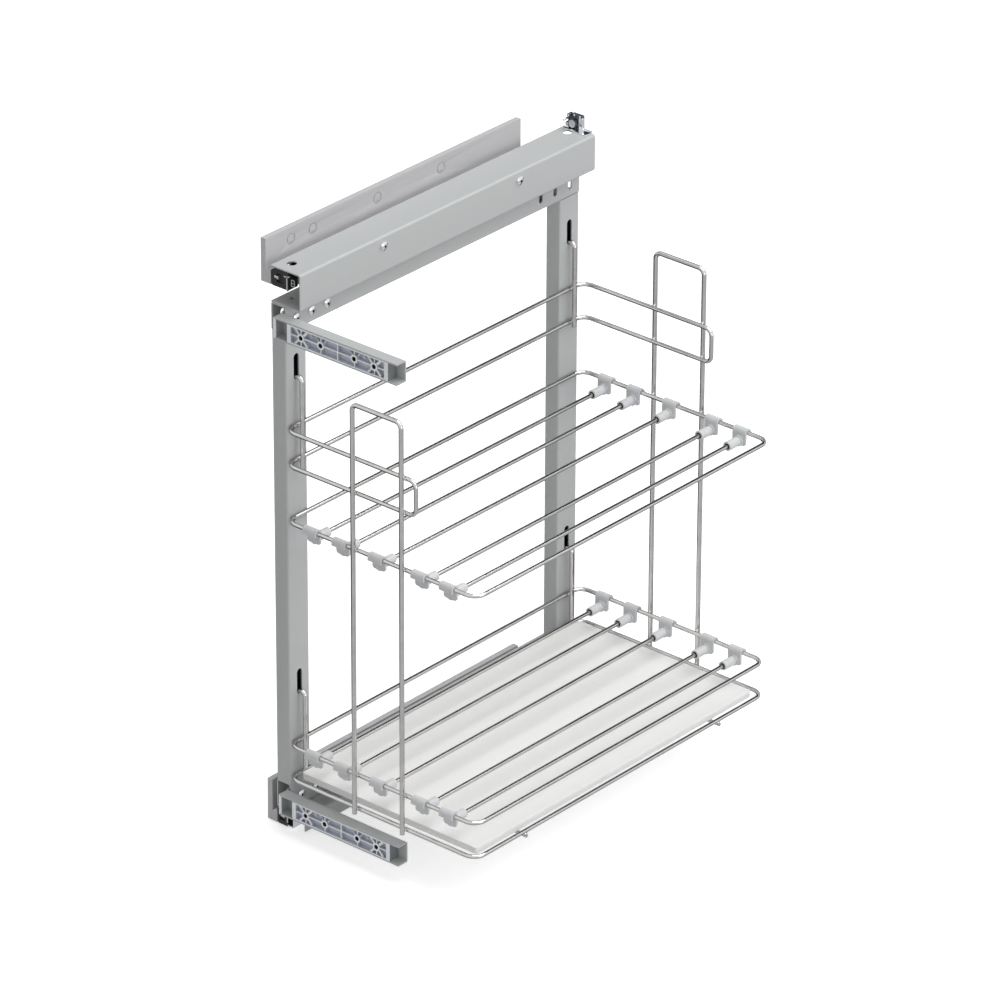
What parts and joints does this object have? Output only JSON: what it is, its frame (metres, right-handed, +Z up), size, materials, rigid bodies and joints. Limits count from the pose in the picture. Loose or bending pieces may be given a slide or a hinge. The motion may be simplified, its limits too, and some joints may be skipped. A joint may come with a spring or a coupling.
{
  "type": "pull out larder unit",
  "caption": "Pull out larder unit for a kitchen base cabinet: wall runners, tube frame, door brackets, hooked-in chrome wire baskets with sliding dividers and a tray.",
  "frame": {"origin": "on the cabinet wall, at the middle of the rectangle of the two front fixing holes of the upper and lower wall rails", "axes": "+X away from the cabinet wall into the cabinet, +Y from the front to the back, +Z up"},
  "size_m": [0.2876, 0.4725, 0.6553],
  "materials": {
    "rail_paint": "satin",
    "zinc_steel": "zinc plated",
    "cage_steel": "plain",
    "ball_steel": "polished",
    "black_plastic": "moulded",
    "frame_paint": "satin silver grey",
    "cast_zinc": "die cast",
    "screw_steel": "zinc plated",
    "chrome_wire": "polished",
    "clip_plastic": "moulded",
    "tray_board": "white laminate"
  },
  "bodies": {
    "wall_side": {"top_rail": "rail_paint", "bottom_rail": "rail_paint", "rail_plugs": "rail_paint", "top_cabinet_member": "zinc_steel", "bottom_cabinet_member": "zinc_steel"},
    "top_middle": {"top_middle_member": "zinc_steel"},
    "bottom_middle": {"bottom_middle_member": "zinc_steel"},
    "pull_frame": {"top_drawer_member": "zinc_steel", "bottom_drawer_member": "zinc_steel", "top_runner_cap": "black_plastic", "bottom_runner_cap": "black_plastic", "cover_channel": "frame_paint", "skirt_channel": "frame_paint", "top_tube": "frame_paint", "bottom_tube": "frame_paint", "front_post": "frame_paint", "rear_post": "frame_paint", "top_door_bracket": "frame_paint", "bottom_door_bracket": "frame_paint", "top_door_insert": "cast_zinc", "bottom_door_insert": "cast_zinc", "runner_sleeves": "zinc_steel", "frame_screws": "screw_steel", "catch_plate": "zinc_steel", "catch_screw": "screw_steel"},
    "basket": {"guard_hoop": "chrome_wire", "upper_basket": "chrome_wire", "lower_basket": "chrome_wire", "tray_frame": "chrome_wire", "end_frames": "chrome_wire", "hook_wires": "chrome_wire"},
    "tray_board": {"tray": "tray_board"},
    "top_outer_ball_cage": {"top_outer_cage": "cage_steel", "top_outer_balls": "ball_steel"},
    "top_inner_ball_cage": {"top_inner_cage": "cage_steel", "top_inner_balls": "ball_steel"},
    "bottom_outer_ball_cage": {"bottom_outer_cage": "cage_steel", "bottom_outer_balls": "ball_steel"},
    "bottom_inner_ball_cage": {"bottom_inner_cage": "cage_steel", "bottom_inner_balls": "ball_steel"},
    "upper_divider_1": {"upper_rod_1": "chrome_wire", "upper_clips_1": "clip_plastic"},
    "upper_divider_2": {"upper_rod_2": "chrome_wire", "upper_clips_2": "clip_plastic"},
    "upper_divider_3": {"upper_rod_3": "chrome_wire", "upper_clips_3": "clip_plastic"},
    "upper_divider_4": {"upper_rod_4": "chrome_wire", "upper_clips_4": "clip_plastic"},
    "upper_divider_5": {"upper_rod_5": "chrome_wire", "upper_clips_5": "clip_plastic"},
    "lower_divider_1": {"lower_rod_1": "chrome_wire", "lower_clips_1": "clip_plastic"},
    "lower_divider_2": {"lower_rod_2": "chrome_wire", "lower_clips_2": "clip_plastic"},
    "lower_divider_3": {"lower_rod_3": "chrome_wire", "lower_clips_3": "clip_plastic"},
    "lower_divider_4": {"lower_rod_4": "chrome_wire", "lower_clips_4": "clip_plastic"},
    "lower_divider_5": {"lower_rod_5": "chrome_wire", "lower_clips_5": "clip_plastic"}
  },
  "joints": [
    {"name": "pull_out", "type": "slide", "parent": "wall_side", "child": "pull_frame", "axis": [0, -1, 0], "range_m": [0, 0.39]},
    {"name": "top_middle_slide", "type": "slide", "parent": "wall_side", "child": "top_middle", "axis": [0, -1, 0], "range_m": [0, 0.195]},
    {"name": "top_outer_roll", "type": "slide", "parent": "wall_side", "child": "top_outer_ball_cage", "axis": [0, -1, 0], "range_m": [0, 0.0975]},
    {"name": "top_inner_roll", "type": "slide", "parent": "wall_side", "child": "top_inner_ball_cage", "axis": [0, -1, 0], "range_m": [0, 0.2925]},
    {"name": "bottom_middle_slide", "type": "slide", "parent": "wall_side", "child": "bottom_middle", "axis": [0, -1, 0], "range_m": [0, 0.195]},
    {"name": "bottom_outer_roll", "type": "slide", "parent": "wall_side", "child": "bottom_outer_ball_cage", "axis": [0, -1, 0], "range_m": [0, 0.0975]},
    {"name": "bottom_inner_roll", "type": "slide", "parent": "wall_side", "child": "bottom_inner_ball_cage", "axis": [0, -1, 0], "range_m": [0, 0.2925]},
    {"name": "basket_lift", "type": "slide", "parent": "pull_frame", "child": "basket", "axis": [0, 0, 1], "range_m": [0, 0.021]},
    {"name": "tray_lift", "type": "slide", "parent": "basket", "child": "tray_board", "axis": [0, 0, 1], "range_m": [0, 0.018]},
    {"name": "upper_divider_1_slide", "type": "slide", "parent": "basket", "child": "upper_divider_1", "axis": [1, 0, 0], "range_m": [-0.01, 0.008]},
    {"name": "upper_divider_2_slide", "type": "slide", "parent": "basket", "child": "upper_divider_2", "axis": [1, 0, 0], "range_m": [-0.009, 0.007]},
    {"name": "upper_divider_3_slide", "type": "slide", "parent": "basket", "child": "upper_divider_3", "axis": [1, 0, 0], "range_m": [-0.014, 0.02]},
    {"name": "upper_divider_4_slide", "type": "slide", "parent": "basket", "child": "upper_divider_4", "axis": [1, 0, 0], "range_m": [-0.006, 0.007]},
    {"name": "upper_divider_5_slide", "type": "slide", "parent": "basket", "child": "upper_divider_5", "axis": [1, 0, 0], "range_m": [-0.009, 0.011]},
    {"name": "lower_divider_1_slide", "type": "slide", "parent": "basket", "child": "lower_divider_1", "axis": [1, 0, 0], "range_m": [-0.01, 0.008]},
    {"name": "lower_divider_2_slide", "type": "slide", "parent": "basket", "child": "lower_divider_2", "axis": [1, 0, 0], "range_m": [-0.009, 0.007]},
    {"name": "lower_divider_3_slide", "type": "slide", "parent": "basket", "child": "lower_divider_3", "axis": [1, 0, 0], "range_m": [-0.014, 0.02]},
    {"name": "lower_divider_4_slide", "type": "slide", "parent": "basket", "child": "lower_divider_4", "axis": [1, 0, 0], "range_m": [-0.006, 0.007]},
    {"name": "lower_divider_5_slide", "type": "slide", "parent": "basket", "child": "lower_divider_5", "axis": [1, 0, 0], "range_m": [-0.009, 0.011]}
  ],
  "couplings": [
    {"joint": "top_middle_slide", "follows": "pull_out", "ratio": 0.5},
    {"joint": "top_outer_roll", "follows": "pull_out", "ratio": 0.25},
    {"joint": "top_inner_roll", "follows": "pull_out", "ratio": 0.75},
    {"joint": "bottom_middle_slide", "follows": "pull_out", "ratio": 0.5},
    {"joint": "bottom_outer_roll", "follows": "pull_out", "ratio": 0.25},
    {"joint": "bottom_inner_roll", "follows": "pull_out", "ratio": 0.75}
  ]
}
